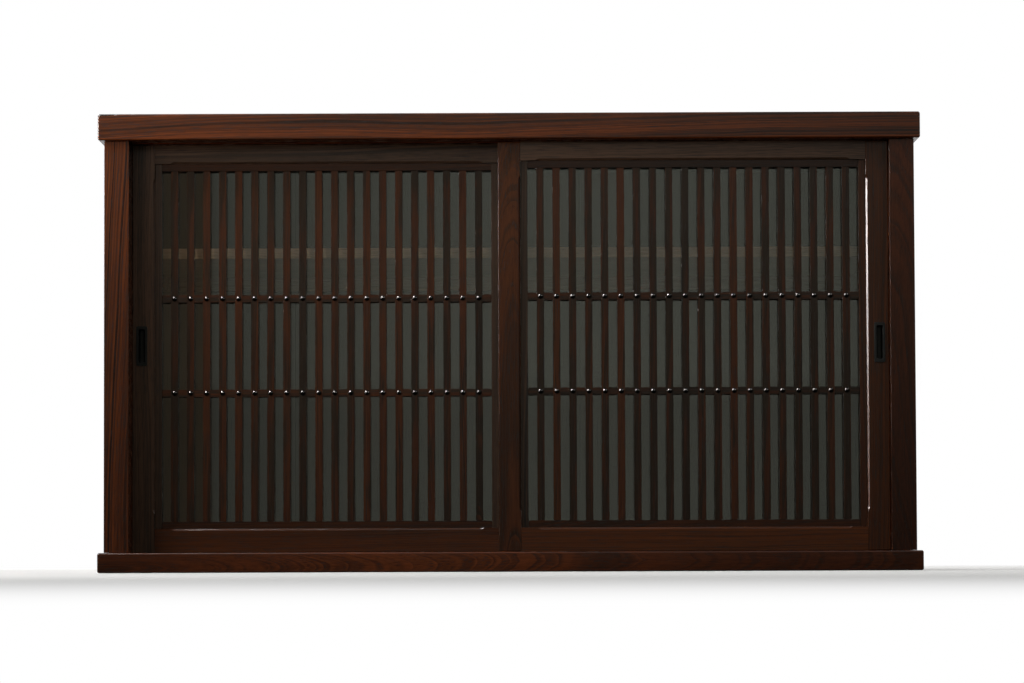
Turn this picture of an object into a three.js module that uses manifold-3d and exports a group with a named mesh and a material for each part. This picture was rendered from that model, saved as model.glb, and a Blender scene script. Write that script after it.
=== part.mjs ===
// A low kitchen tansu: a solid-board chest with two sliding lattice doors in parallel grooves.
// Millimetres, +Z up, front towards -Y. The origin is on the floor, under the middle of the chest.
// The left door runs in the rear groove and the right door in the front groove.

import * as THREE from 'three';
import { RoundedBoxGeometry } from 'three/addons/geometries/RoundedBoxGeometry.js';
import { mergeVertices } from 'three/addons/utils/BufferGeometryUtils.js';
import Module from 'manifold-3d';

const wasm = await Module();
wasm.setup();

// Overall size and boards
const CHEST_WIDTH = 1400;
const CHEST_DEPTH = 420;
const CLEAR_HEIGHT = 702; // between the bottom board and the top board
const TOP_THICKNESS = 45;
const BOTTOM_THICKNESS = 34;
const SIDE_THICKNESS = 42;
const END_OVERHANG = 10; // top and bottom boards past the outer faces of the sides
const FRONT_OVERHANG = 10; // top and bottom boards past the front edges of the sides
const BOARD_ARRIS_RADIUS = 3;

// Fits and cutting
const JOINT_GAP = 0.3; // between pieces that seat on or in each other
const OVERRUN = 2; // cutters pass the faces that they open by this much

// Tenons of the side boards
const SIDE_TENON_COUNT = 3;
const SIDE_TENON_WIDTH = 64;
const SIDE_TENON_THICKNESS = 14;
const SIDE_TENON_UP = 22;
const SIDE_TENON_DOWN = 16;
const SIDE_TENON_INSET = 34; // from the front and back edges of the side board

// Back boards
const BACK_BOARD_COUNT = 5;
const BACK_BOARD_THICKNESS = 8;
const BACK_REBATE_WIDTH = 12;
const BACK_LAP = 10;

// Shelf
const SHELF_THICKNESS = 18;
const SHELF_TOP_HEIGHT = 526; // above the bottom board
const SHELF_FRONT_SETBACK = 6; // behind the rear door
const CLEAT_THICKNESS = 18;
const CLEAT_HEIGHT = 24;
const CLEAT_FRONT_SETBACK = 20; // behind the shelf's front edge

// Door tracks
const DOOR_THICKNESS = 24;
const FRONT_DOOR_SETBACK = 26; // front door's face behind the front edge of the top board
const DOOR_SPACING = 3; // clear space between the two doors
const TOP_GROOVE_DEPTH = 16;
const BOTTOM_GROOVE_DEPTH = 4;
const TONGUE_THICKNESS = 9;
const TONGUE_SIDE_CLEARANCE = 0.5;
const TOP_TONGUE_ENTRY = 10; // how far the door's tongue reaches into the top groove
const SHOULDER_CLEARANCE = 1; // between the door's shoulders and the boards
const DOOR_STOP_GAP = 0.5; // between a closed door's edge and the side board

// Door frames
const STILE_WIDTH = 38;
const TOP_RAIL_HEIGHT = 32;
const BOTTOM_RAIL_HEIGHT = 40;
const RAIL_TENON_LENGTH = 25;
const RAIL_TENON_THICKNESS = 8;
const RAIL_TENON_FACE_INSET = 6; // tenon behind the frame's face
const RAIL_TENON_SHOULDER = 6; // above and below the tenon
const CHAMFER_SIZE = 3.3;
const CHAMFER_STOP = 26; // the stopped chamfers end this far short of the corners
const CHAMFER_RUNOUT = 8;
const CHAMFER_RUNOUT_STEPS = 4;

// Lattice
const SLAT_COUNT = 20;
const LATTICE_BAR_WIDTH = 12.5; // slats, crossbars and border bars are all cut to one width
const LATTICE_DEPTH = 11.5;
const LATTICE_RECESS = 4.5; // lattice behind the frame's face
const CROSSBAR_SPACING = 162.5; // between the middles of the two crossbars
const STUB_TENON_LENGTH = 4;
const STUB_TENON_WIDTH = 8.5;
const STUB_TENON_THICKNESS = 4;

// Glass and its beads
const GLASS_THICKNESS = 3;
const GLASS_REBATE_WIDTH = 7;
const GLASS_EDGE_CLEARANCE = 1;

// Finger pulls
const PULL_WIDTH = 19;
const PULL_HEIGHT = 68;
const PULL_RIM_THICKNESS = 1.2;
const PULL_CORNER_RADIUS = 2.5;
const PULL_RECESS_WIDTH = 11;
const PULL_RECESS_HEIGHT = 58;
const PULL_RECESS_DEPTH = 9;
const PULL_WALL = 1.5;
const PULL_EDGE_DISTANCE = 16; // middle of the pull from the door's outer edge
const PULL_CORNER_STEPS = 3;

// Places worked out from the sizes above
const HALF_WIDTH = CHEST_WIDTH / 2;
const HALF_DEPTH = CHEST_DEPTH / 2;
const INNER_WIDTH = CHEST_WIDTH - 2 * (END_OVERHANG + SIDE_THICKNESS);
const SIDE_CENTRE_X = HALF_WIDTH - END_OVERHANG - SIDE_THICKNESS / 2;
const SIDE_FRONT_Y = -HALF_DEPTH + FRONT_OVERHANG;
const TOP_BOARD_Z = BOTTOM_THICKNESS + CLEAR_HEIGHT;
const BACK_REBATE_DEPTH = BACK_BOARD_THICKNESS + JOINT_GAP;
const BACK_FACE_Y = HALF_DEPTH - BACK_REBATE_DEPTH;

const TRACK_PITCH = DOOR_THICKNESS + DOOR_SPACING;
const FRONT_DOOR_Y = -HALF_DEPTH + FRONT_DOOR_SETBACK;
const REAR_DOOR_Y = FRONT_DOOR_Y + TRACK_PITCH;
const DOOR_FACES_Y = [FRONT_DOOR_Y, REAR_DOOR_Y];
const GROOVE_WIDTH = TONGUE_THICKNESS + 2 * TONGUE_SIDE_CLEARANCE;

const DOOR_WIDTH = (INNER_WIDTH - 2 * DOOR_STOP_GAP + STILE_WIDTH) / 2;
const DOOR_HEIGHT = CLEAR_HEIGHT - 2 * SHOULDER_CLEARANCE;
const DOOR_BASE_Z = BOTTOM_THICKNESS + SHOULDER_CLEARANCE;
const DOOR_CENTRE_X = INNER_WIDTH / 2 - DOOR_STOP_GAP - DOOR_WIDTH / 2;
const TOP_TONGUE_LENGTH = SHOULDER_CLEARANCE + TOP_TONGUE_ENTRY;
const BOTTOM_TONGUE_LENGTH = SHOULDER_CLEARANCE + BOTTOM_GROOVE_DEPTH - JOINT_GAP;

const OPENING_WIDTH = DOOR_WIDTH - 2 * STILE_WIDTH;
const OPENING_LOW_Z = BOTTOM_RAIL_HEIGHT;
const OPENING_HIGH_Z = DOOR_HEIGHT - TOP_RAIL_HEIGHT;
const OPENING_HEIGHT = OPENING_HIGH_Z - OPENING_LOW_Z;
const OPENING_CENTRE_Z = (OPENING_LOW_Z + OPENING_HIGH_Z) / 2;
const GLASS_REBATE_Y = LATTICE_RECESS + LATTICE_DEPTH;
const GLASS_Y = GLASS_REBATE_Y + JOINT_GAP;
const BEAD_Y = GLASS_Y + GLASS_THICKNESS + JOINT_GAP;

const LATTICE_CENTRE_Y = LATTICE_RECESS + LATTICE_DEPTH / 2;
const GRID_WIDTH = OPENING_WIDTH - 2 * LATTICE_BAR_WIDTH;
const GRID_HEIGHT = OPENING_HEIGHT - 2 * LATTICE_BAR_WIDTH;
const SLAT_PITCH = (GRID_WIDTH + LATTICE_BAR_WIDTH) / (SLAT_COUNT + 1);

// Colours
const STAINED_TOP = 0x4b281c;
const STAINED_SIDE = 0x48271b;
const STAINED_FRAME = 0x33221a;
const STAINED_LATTICE = 0x362018;
const BARE_WOOD = 0x8a6a48;
const PULL_BLACK = 0x151514;
const CLEAR_GLASS = 0xcfd8d4;

/** The span of the given size about a middle. */
function about(middle, size) {
  return [middle - size / 2, middle + size / 2];
}

/** A span made longer at both ends. */
function widened([low, high], amount) {
  return [low - amount, high + amount];
}

/** A box given by its spans along X, Y and Z. */
function box([x0, x1], [y0, y1], [z0, z1]) {
  const geometry = new THREE.BoxGeometry(x1 - x0, y1 - y0, z1 - z0);
  return geometry.translate((x0 + x1) / 2, (y0 + y1) / 2, (z0 + z1) / 2);
}

/** The solid that a closed geometry bounds. */
function solidFrom(geometry) {
  const bare = geometry.clone();
  bare.deleteAttribute('normal');
  bare.deleteAttribute('uv');
  const merged = mergeVertices(bare);
  const vertProperties = Float32Array.from(merged.attributes.position.array);
  const triVerts = Uint32Array.from(merged.index.array);
  return new wasm.Manifold(new wasm.Mesh({ numProp: 3, vertProperties, triVerts }));
}

/** Stock with pieces joined to it and then cut from it. */
function worked(stock, joined, cuts) {
  let solid = solidFrom(stock);
  for (const piece of joined) {
    solid = solid.add(solidFrom(piece));
  }
  for (const cutter of cuts) {
    solid = solid.subtract(solidFrom(cutter));
  }
  const { vertProperties, triVerts } = solid.getMesh();
  const geometry = new THREE.BufferGeometry();
  geometry.setAttribute('position', new THREE.BufferAttribute(vertProperties, 3));
  geometry.setIndex(new THREE.BufferAttribute(triVerts, 1));
  geometry.computeVertexNormals();
  return geometry;
}

/** A named piece of stained or bare wood. */
function woodPiece(name, geometry, color) {
  const mesh = new THREE.Mesh(geometry, new THREE.MeshStandardMaterial({ color, roughness: 0.42, metalness: 0 }));
  mesh.name = name;
  return mesh;
}

/** The cutter of a stopped chamfer. It runs up Z from zero along the arris at the origin, where the wood */
/** fills the quarter of +X and +Y, and it rises out of the wood in a curve at both ends. */
function chamferCutter(length) {
  const stations = [];
  for (let step = 0; step <= CHAMFER_RUNOUT_STEPS; step += 1) {
    const share = step / CHAMFER_RUNOUT_STEPS;
    const size = CHAMFER_SIZE * Math.sin((Math.PI / 2) * share);
    stations.push({ z: CHAMFER_RUNOUT * share, size });
  }
  const lowerHalf = stations.slice();
  for (const station of lowerHalf.reverse()) {
    stations.push({ z: length - station.z, size: station.size });
  }
  const points = [];
  for (const { z, size } of stations) {
    points.push(-OVERRUN, -OVERRUN, z);
    points.push(size + OVERRUN, -OVERRUN, z);
    points.push(-OVERRUN, size + OVERRUN, z);
  }
  const last = 3 * (stations.length - 1);
  const faces = [0, 2, 1, last, last + 1, last + 2];
  for (let low = 0; low < last; low += 3) {
    for (let side = 0; side < 3; side += 1) {
      const next = (side + 1) % 3;
      faces.push(low + side, low + next, low + 3 + next);
      faces.push(low + side, low + 3 + next, low + 3 + side);
    }
  }
  const geometry = new THREE.BufferGeometry();
  geometry.setAttribute('position', new THREE.Float32BufferAttribute(points, 3));
  geometry.setIndex(faces);
  return geometry;
}

/** An upright rectangle with rounded corners, extruded back along +Y from y = 0. */
function roundedPlate(width, height, radius, thickness) {
  const x = width / 2 - radius;
  const y = height / 2 - radius;
  const outline = new THREE.Shape();
  outline.absarc(x, y, radius, 0, Math.PI / 2);
  outline.absarc(-x, y, radius, Math.PI / 2, Math.PI);
  outline.absarc(-x, -y, radius, Math.PI, (3 * Math.PI) / 2);
  outline.absarc(x, -y, radius, (3 * Math.PI) / 2, 2 * Math.PI);
  const settings = { depth: thickness, bevelEnabled: false, curveSegments: PULL_CORNER_STEPS };
  return new THREE.ExtrudeGeometry(outline, settings).rotateX(Math.PI / 2).translate(0, thickness, 0);
}

/** Middles of the side board's tenons, from front to back. */
function sideTenonPlaces() {
  const first = SIDE_FRONT_Y + SIDE_TENON_INSET + SIDE_TENON_WIDTH / 2;
  const last = HALF_DEPTH - SIDE_TENON_INSET - SIDE_TENON_WIDTH / 2;
  const places = [];
  for (let i = 0; i < SIDE_TENON_COUNT; i += 1) {
    places.push(first + ((last - first) * i) / (SIDE_TENON_COUNT - 1));
  }
  return places;
}

/** A horizontal board with its underside at z = 0. The worked face holds the grooves and mortises. */
function horizontalBoard(thickness, workedFaceUp, grooveDepth, mortiseDepth) {
  const stock = new RoundedBoxGeometry(CHEST_WIDTH, CHEST_DEPTH, thickness, 1, BOARD_ARRIS_RADIUS);
  stock.translate(0, 0, thickness / 2);
  const sunk = (depth) => (workedFaceUp ? [thickness - depth, thickness + OVERRUN] : [-OVERRUN, depth]);
  const cuts = [];
  for (const faceY of DOOR_FACES_Y) {
    const grooveY = about(faceY + DOOR_THICKNESS / 2, GROOVE_WIDTH);
    cuts.push(box(about(0, INNER_WIDTH), grooveY, sunk(grooveDepth)));
  }
  for (const side of [-1, 1]) {
    for (const place of sideTenonPlaces()) {
      const acrossX = widened(about(side * SIDE_CENTRE_X, SIDE_TENON_THICKNESS), JOINT_GAP);
      const alongY = widened(about(place, SIDE_TENON_WIDTH), JOINT_GAP);
      cuts.push(box(acrossX, alongY, sunk(mortiseDepth + JOINT_GAP)));
    }
  }
  const rebateX = about(0, INNER_WIDTH + 2 * BACK_REBATE_WIDTH);
  cuts.push(box(rebateX, [BACK_FACE_Y, HALF_DEPTH + OVERRUN], sunk(BACK_REBATE_WIDTH)));
  return worked(stock, [], cuts);
}

/** A side board about x = 0, its lower shoulder just above z = 0. Inward is +1 where +X is the inside. */
function sideBoard(inward) {
  const bodyZ = [JOINT_GAP, CLEAR_HEIGHT - JOINT_GAP];
  const stock = box(about(0, SIDE_THICKNESS), [SIDE_FRONT_Y, HALF_DEPTH], bodyZ);
  const tenons = [];
  for (const place of sideTenonPlaces()) {
    const alongY = about(place, SIDE_TENON_WIDTH);
    tenons.push(box(about(0, SIDE_TENON_THICKNESS), alongY, [-SIDE_TENON_DOWN, CLEAR_HEIGHT + SIDE_TENON_UP]));
  }
  const innerFace = (inward * SIDE_THICKNESS) / 2;
  const rebateMiddle = innerFace + (inward * (OVERRUN - BACK_REBATE_WIDTH)) / 2;
  const rebateX = about(rebateMiddle, BACK_REBATE_WIDTH + OVERRUN);
  const rebate = box(rebateX, [BACK_FACE_Y, HALF_DEPTH + OVERRUN], widened(bodyZ, OVERRUN));
  return worked(stock, tenons, [rebate]);
}

/** The outer carcass: top, bottom and sides. */
function carcass() {
  const group = new THREE.Group();
  const top = woodPiece('top_board', horizontalBoard(TOP_THICKNESS, false, TOP_GROOVE_DEPTH, SIDE_TENON_UP), STAINED_TOP);
  top.position.set(0, 0, TOP_BOARD_Z);
  const bottomGeometry = horizontalBoard(BOTTOM_THICKNESS, true, BOTTOM_GROOVE_DEPTH, SIDE_TENON_DOWN);
  const bottom = woodPiece('bottom_board', bottomGeometry, STAINED_TOP);
  const left = woodPiece('left_side_board', sideBoard(1), STAINED_SIDE);
  left.position.set(-SIDE_CENTRE_X, 0, BOTTOM_THICKNESS);
  const right = woodPiece('right_side_board', sideBoard(-1), STAINED_SIDE);
  right.position.set(SIDE_CENTRE_X, 0, BOTTOM_THICKNESS);
  group.add(top, bottom, left, right);
  return group;
}

/** The back boards, lapped edge over edge in the rebate round the back. */
function back() {
  const group = new THREE.Group();
  const coverWidth = INNER_WIDTH + 2 * (BACK_REBATE_WIDTH - JOINT_GAP);
  const boardWidth = coverWidth / BACK_BOARD_COUNT;
  const height = CLEAR_HEIGHT + 2 * (BACK_REBATE_WIDTH - JOINT_GAP);
  const halfThickness = (BACK_BOARD_THICKNESS - JOINT_GAP) / 2;
  for (let i = 0; i < BACK_BOARD_COUNT; i += 1) {
    const lapIn = i === 0 ? 0 : BACK_LAP;
    const lapOut = i === BACK_BOARD_COUNT - 1 ? 0 : BACK_LAP;
    const seam = i === BACK_BOARD_COUNT - 1 ? 0 : JOINT_GAP;
    const insideLayer = box([0, boardWidth - seam], [0, halfThickness], [0, height]);
    const outsideX = [lapIn, boardWidth + lapOut - seam];
    const outsideLayer = box(outsideX, [halfThickness + JOINT_GAP, BACK_BOARD_THICKNESS], [0, height]);
    const bodyX = [lapIn, boardWidth - seam];
    const body = box(bodyX, [0, BACK_BOARD_THICKNESS], [0, height]);
    const board = woodPiece(`back_board_${i + 1}`, worked(body, [insideLayer, outsideLayer], []), BARE_WOOD);
    board.position.set(-coverWidth / 2 + i * boardWidth, BACK_FACE_Y + JOINT_GAP, 0);
    group.add(board);
  }
  group.position.z = BOTTOM_THICKNESS - BACK_REBATE_WIDTH + JOINT_GAP;
  return group;
}

/** The shelf and the three cleats under it. */
function shelving() {
  const group = new THREE.Group();
  const frontY = REAR_DOOR_Y + DOOR_THICKNESS + SHELF_FRONT_SETBACK;
  const shelfX = about(0, INNER_WIDTH - 2 * JOINT_GAP);
  const shelf = woodPiece('shelf', box(shelfX, [frontY, BACK_FACE_Y], [0, SHELF_THICKNESS]), BARE_WOOD);
  shelf.position.z = SHELF_TOP_HEIGHT - SHELF_THICKNESS;
  group.add(shelf);
  const cleatTop = SHELF_TOP_HEIGHT - SHELF_THICKNESS - JOINT_GAP;
  const cleatZ = [cleatTop - CLEAT_HEIGHT, cleatTop];
  const cleatY = [frontY + CLEAT_FRONT_SETBACK, BACK_FACE_Y];
  const cleatMiddle = INNER_WIDTH / 2 - JOINT_GAP - CLEAT_THICKNESS / 2;
  for (const [name, side] of [['left_shelf_cleat', -1], ['right_shelf_cleat', 1]]) {
    const cleat = woodPiece(name, box(about(0, CLEAT_THICKNESS), cleatY, cleatZ), BARE_WOOD);
    cleat.position.x = side * cleatMiddle;
    group.add(cleat);
  }
  const backCleatX = about(0, INNER_WIDTH - 2 * (CLEAT_THICKNESS + 2 * JOINT_GAP));
  const backCleatY = [BACK_FACE_Y - CLEAT_THICKNESS, BACK_FACE_Y];
  group.add(woodPiece('back_shelf_cleat', box(backCleatX, backCleatY, cleatZ), BARE_WOOD));
  group.position.z = BOTTOM_THICKNESS;
  return group;
}

/** Spans of a rail's tenon up the door, for a rail between two heights. */
function railTenonZ(railZ) {
  return widened(railZ, -RAIL_TENON_SHOULDER);
}

/** The shape of the pull that stands proud, and of the cup that is let into the stile behind it. */
function fingerPull() {
  const cupWidth = PULL_RECESS_WIDTH + 2 * PULL_WALL;
  const cupHeight = PULL_RECESS_HEIGHT + 2 * PULL_WALL;
  const rim = roundedPlate(PULL_WIDTH, PULL_HEIGHT, PULL_CORNER_RADIUS, PULL_RIM_THICKNESS);
  rim.translate(0, -PULL_RIM_THICKNESS - JOINT_GAP, 0);
  const cup = box(about(0, cupWidth), [-PULL_RIM_THICKNESS, PULL_RECESS_DEPTH + PULL_WALL], about(0, cupHeight));
  const recessY = [-PULL_RIM_THICKNESS - OVERRUN, PULL_RECESS_DEPTH];
  const recess = box(about(0, PULL_RECESS_WIDTH), recessY, about(0, PULL_RECESS_HEIGHT));
  return worked(rim, [cup], [recess]);
}

/** The pocket in the stile for the pull's cup, about the pull's middle. */
function pullPocket() {
  const width = PULL_RECESS_WIDTH + 2 * (PULL_WALL + JOINT_GAP);
  const height = PULL_RECESS_HEIGHT + 2 * (PULL_WALL + JOINT_GAP);
  return box(about(0, width), [-OVERRUN, PULL_RECESS_DEPTH + PULL_WALL + JOINT_GAP], about(0, height));
}

/** A door stile about x = 0, face at y = 0. Inward is +1 where the lattice is on the +X side. */
function stile(inward, pocketCutters) {
  const stock = box(about(0, STILE_WIDTH), [0, DOOR_THICKNESS], [0, DOOR_HEIGHT]);
  const tongueY = about(DOOR_THICKNESS / 2, TONGUE_THICKNESS);
  const tongueZ = [-BOTTOM_TONGUE_LENGTH, DOOR_HEIGHT + TOP_TONGUE_LENGTH];
  const tongue = box(about(0, STILE_WIDTH), tongueY, tongueZ);
  const innerEdge = (inward * STILE_WIDTH) / 2;
  const inwardSpan = (depth) => about(innerEdge + (inward * (OVERRUN - depth)) / 2, depth + OVERRUN);
  const cuts = [...pocketCutters];
  const mortiseY = [RAIL_TENON_FACE_INSET - JOINT_GAP, RAIL_TENON_FACE_INSET + RAIL_TENON_THICKNESS + JOINT_GAP];
  for (const railZ of [[0, BOTTOM_RAIL_HEIGHT], [OPENING_HIGH_Z, DOOR_HEIGHT]]) {
    const mortiseZ = widened(railTenonZ(railZ), JOINT_GAP);
    cuts.push(box(inwardSpan(RAIL_TENON_LENGTH + JOINT_GAP), mortiseY, mortiseZ));
  }
  const rebateY = [GLASS_REBATE_Y, DOOR_THICKNESS + OVERRUN];
  const rebateZ = widened([OPENING_LOW_Z, OPENING_HIGH_Z], GLASS_REBATE_WIDTH);
  cuts.push(box(inwardSpan(GLASS_REBATE_WIDTH), rebateY, rebateZ));
  const chamfer = chamferCutter(OPENING_HEIGHT - 2 * CHAMFER_STOP);
  if (inward > 0) {
    chamfer.rotateZ(Math.PI / 2);
  }
  cuts.push(chamfer.translate(innerEdge, 0, OPENING_LOW_Z + CHAMFER_STOP));
  return worked(stock, [tongue], cuts);
}

/** A door rail about x = 0, face at y = 0, between two heights. Upper is true for the top rail. */
function rail([lowZ, highZ], upper) {
  const shoulderX = about(0, OPENING_WIDTH - 2 * JOINT_GAP);
  const stock = box(shoulderX, [0, DOOR_THICKNESS], [lowZ, highZ]);
  const tongueY = about(DOOR_THICKNESS / 2, TONGUE_THICKNESS);
  const tongueZ = upper ? [lowZ, highZ + TOP_TONGUE_LENGTH] : [lowZ - BOTTOM_TONGUE_LENGTH, highZ];
  const tongue = box(shoulderX, tongueY, tongueZ);
  const tenonX = about(0, OPENING_WIDTH + 2 * RAIL_TENON_LENGTH);
  const tenonY = [RAIL_TENON_FACE_INSET, RAIL_TENON_FACE_INSET + RAIL_TENON_THICKNESS];
  const tenon = box(tenonX, tenonY, railTenonZ([lowZ, highZ]));
  const rebateZ = upper
    ? [lowZ - OVERRUN, lowZ + GLASS_REBATE_WIDTH]
    : [highZ - GLASS_REBATE_WIDTH, highZ + OVERRUN];
  const rebate = box(widened(shoulderX, OVERRUN), [GLASS_REBATE_Y, DOOR_THICKNESS + OVERRUN], rebateZ);
  const chamferLength = OPENING_WIDTH - 2 * CHAMFER_STOP;
  const chamfer = chamferCutter(chamferLength);
  if (upper) {
    chamfer.rotateY(-Math.PI / 2).translate(chamferLength / 2, 0, lowZ);
  } else {
    chamfer.rotateY(Math.PI / 2).translate(-chamferLength / 2, 0, highZ);
  }
  return worked(stock, [tongue, tenon], [rebate, chamfer]);
}

/** Middles of the slats across the opening. */
function slatPlaces() {
  const places = [];
  for (let i = 1; i <= SLAT_COUNT; i += 1) {
    places.push(-(GRID_WIDTH + LATTICE_BAR_WIDTH) / 2 + i * SLAT_PITCH);
  }
  return places;
}

/** Middles of the crossbars up the door. */
function crossbarPlaces() {
  return about(OPENING_CENTRE_Z, CROSSBAR_SPACING);
}

/** Depth span of the stub tenons of the lattice. */
const STUB_TENON_Y = about(LATTICE_CENTRE_Y, STUB_TENON_THICKNESS);

/** The slats halved over the crossbars, with stub tenons on all their ends. */
function latticeGrid() {
  const depthY = [LATTICE_RECESS, LATTICE_RECESS + LATTICE_DEPTH];
  const gridX = about(0, GRID_WIDTH - 2 * JOINT_GAP);
  const gridZ = about(OPENING_CENTRE_Z, GRID_HEIGHT - 2 * JOINT_GAP);
  const members = [];
  for (const x of slatPlaces()) {
    members.push(box(about(x, LATTICE_BAR_WIDTH), depthY, gridZ));
    members.push(box(about(x, STUB_TENON_WIDTH), STUB_TENON_Y, widened(gridZ, STUB_TENON_LENGTH)));
  }
  for (const z of crossbarPlaces()) {
    members.push(box(gridX, depthY, about(z, LATTICE_BAR_WIDTH)));
    members.push(box(widened(gridX, STUB_TENON_LENGTH), STUB_TENON_Y, about(z, STUB_TENON_WIDTH)));
  }
  return worked(members[0], members.slice(1), []);
}

/** An upright border bar of the lattice about x = 0. Inward is +1 where the grid is on the +X side. */
function uprightBar(inward) {
  const depthY = [LATTICE_RECESS, LATTICE_RECESS + LATTICE_DEPTH];
  const heightZ = widened([OPENING_LOW_Z, OPENING_HIGH_Z], -JOINT_GAP);
  const stock = box(about(0, LATTICE_BAR_WIDTH - 2 * JOINT_GAP), depthY, heightZ);
  const mortiseDepth = STUB_TENON_LENGTH + JOINT_GAP;
  const mortiseMiddle = inward * (LATTICE_BAR_WIDTH / 2 + (OVERRUN - mortiseDepth) / 2);
  const mortiseX = about(mortiseMiddle, mortiseDepth + OVERRUN);
  const cuts = [];
  const endBarPlaces = about(OPENING_CENTRE_Z, OPENING_HEIGHT - LATTICE_BAR_WIDTH);
  for (const z of [...crossbarPlaces(), ...endBarPlaces]) {
    const mortiseZ = widened(about(z, STUB_TENON_WIDTH), JOINT_GAP);
    cuts.push(box(mortiseX, widened(STUB_TENON_Y, JOINT_GAP), mortiseZ));
  }
  return worked(stock, [], cuts);
}

/** A level border bar of the lattice about z = 0. Upward is +1 where the grid is above it. */
function levelBar(upward) {
  const depthY = [LATTICE_RECESS, LATTICE_RECESS + LATTICE_DEPTH];
  const barX = about(0, GRID_WIDTH - 2 * JOINT_GAP);
  const stock = box(barX, depthY, about(0, LATTICE_BAR_WIDTH - 2 * JOINT_GAP));
  const tenonX = widened(barX, STUB_TENON_LENGTH);
  const tenon = box(tenonX, STUB_TENON_Y, about(0, STUB_TENON_WIDTH));
  const mortiseDepth = STUB_TENON_LENGTH + JOINT_GAP;
  const mortiseMiddle = upward * (LATTICE_BAR_WIDTH / 2 + (OVERRUN - mortiseDepth) / 2);
  const mortiseZ = about(mortiseMiddle, mortiseDepth + OVERRUN);
  const cuts = [];
  for (const x of slatPlaces()) {
    const mortiseX = widened(about(x, STUB_TENON_WIDTH), JOINT_GAP);
    cuts.push(box(mortiseX, widened(STUB_TENON_Y, JOINT_GAP), mortiseZ));
  }
  return worked(stock, [tenon], cuts);
}

/** A mitred glazing bead of a given outer length. It lies along X with its outer edge at z = 0, and the */
/** rest of it towards +Z. */
function glazingBead(outerLength) {
  const halfLength = outerLength / 2 - JOINT_GAP;
  const width = GLASS_REBATE_WIDTH - JOINT_GAP;
  const outline = new THREE.Shape();
  outline.moveTo(-halfLength, 0);
  outline.lineTo(halfLength, 0);
  outline.lineTo(halfLength - width, width);
  outline.lineTo(-halfLength + width, width);
  outline.closePath();
  const thickness = DOOR_THICKNESS - BEAD_Y;
  const bead = new THREE.ExtrudeGeometry(outline, { depth: thickness, bevelEnabled: false });
  return bead.rotateX(Math.PI / 2).translate(0, thickness, 0);
}

/** The four beads round the glass, mitred at the corners. */
function glazingBeads(door, outward) {
  const group = new THREE.Group();
  const frameWidth = OPENING_WIDTH + 2 * (GLASS_REBATE_WIDTH - JOINT_GAP);
  const frameHeight = OPENING_HEIGHT + 2 * (GLASS_REBATE_WIDTH - JOINT_GAP);
  const sides = [
    ['bottom', frameWidth, 0, [0, -frameHeight / 2]],
    ['top', frameWidth, Math.PI, [0, frameHeight / 2]],
    ['outer', frameHeight, (outward * -Math.PI) / 2, [(outward * frameWidth) / 2, 0]],
    ['meeting', frameHeight, (outward * Math.PI) / 2, [(outward * -frameWidth) / 2, 0]],
  ];
  for (const [name, length, turn, [x, z]] of sides) {
    const bead = woodPiece(`${door}_glass_bead_${name}`, glazingBead(length), STAINED_FRAME);
    bead.rotation.y = turn;
    bead.position.set(x, BEAD_Y, OPENING_CENTRE_Z + z);
    group.add(bead);
  }
  return group;
}

/** The pane, which fills the rebate but for a clearance round its edges. */
function glassPane(door) {
  const reach = 2 * (GLASS_REBATE_WIDTH - GLASS_EDGE_CLEARANCE);
  const geometry = new THREE.BoxGeometry(OPENING_WIDTH + reach, GLASS_THICKNESS, OPENING_HEIGHT + reach);
  const settings = { color: CLEAR_GLASS, roughness: 0.05, metalness: 0, transparent: true, opacity: 0.35 };
  const pane = new THREE.Mesh(geometry, new THREE.MeshStandardMaterial(settings));
  pane.name = `${door}_glass_pane`;
  pane.position.set(0, GLASS_Y + GLASS_THICKNESS / 2, OPENING_CENTRE_Z);
  return pane;
}

/** The lattice of one door: the grid and its four border bars. */
function lattice(door, outward) {
  const group = new THREE.Group();
  group.add(woodPiece(`${door}_lattice_grid`, latticeGrid(), STAINED_LATTICE));
  const uprightX = (OPENING_WIDTH - LATTICE_BAR_WIDTH) / 2;
  for (const [name, side] of [['outer', outward], ['meeting', -outward]]) {
    const bar = woodPiece(`${door}_lattice_${name}_bar`, uprightBar(-side), STAINED_LATTICE);
    bar.position.x = side * uprightX;
    group.add(bar);
  }
  const levelZ = (OPENING_HEIGHT - LATTICE_BAR_WIDTH) / 2;
  for (const [name, side] of [['top', 1], ['bottom', -1]]) {
    const bar = woodPiece(`${door}_lattice_${name}_bar`, levelBar(-side), STAINED_LATTICE);
    bar.position.z = OPENING_CENTRE_Z + side * levelZ;
    group.add(bar);
  }
  return group;
}

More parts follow.
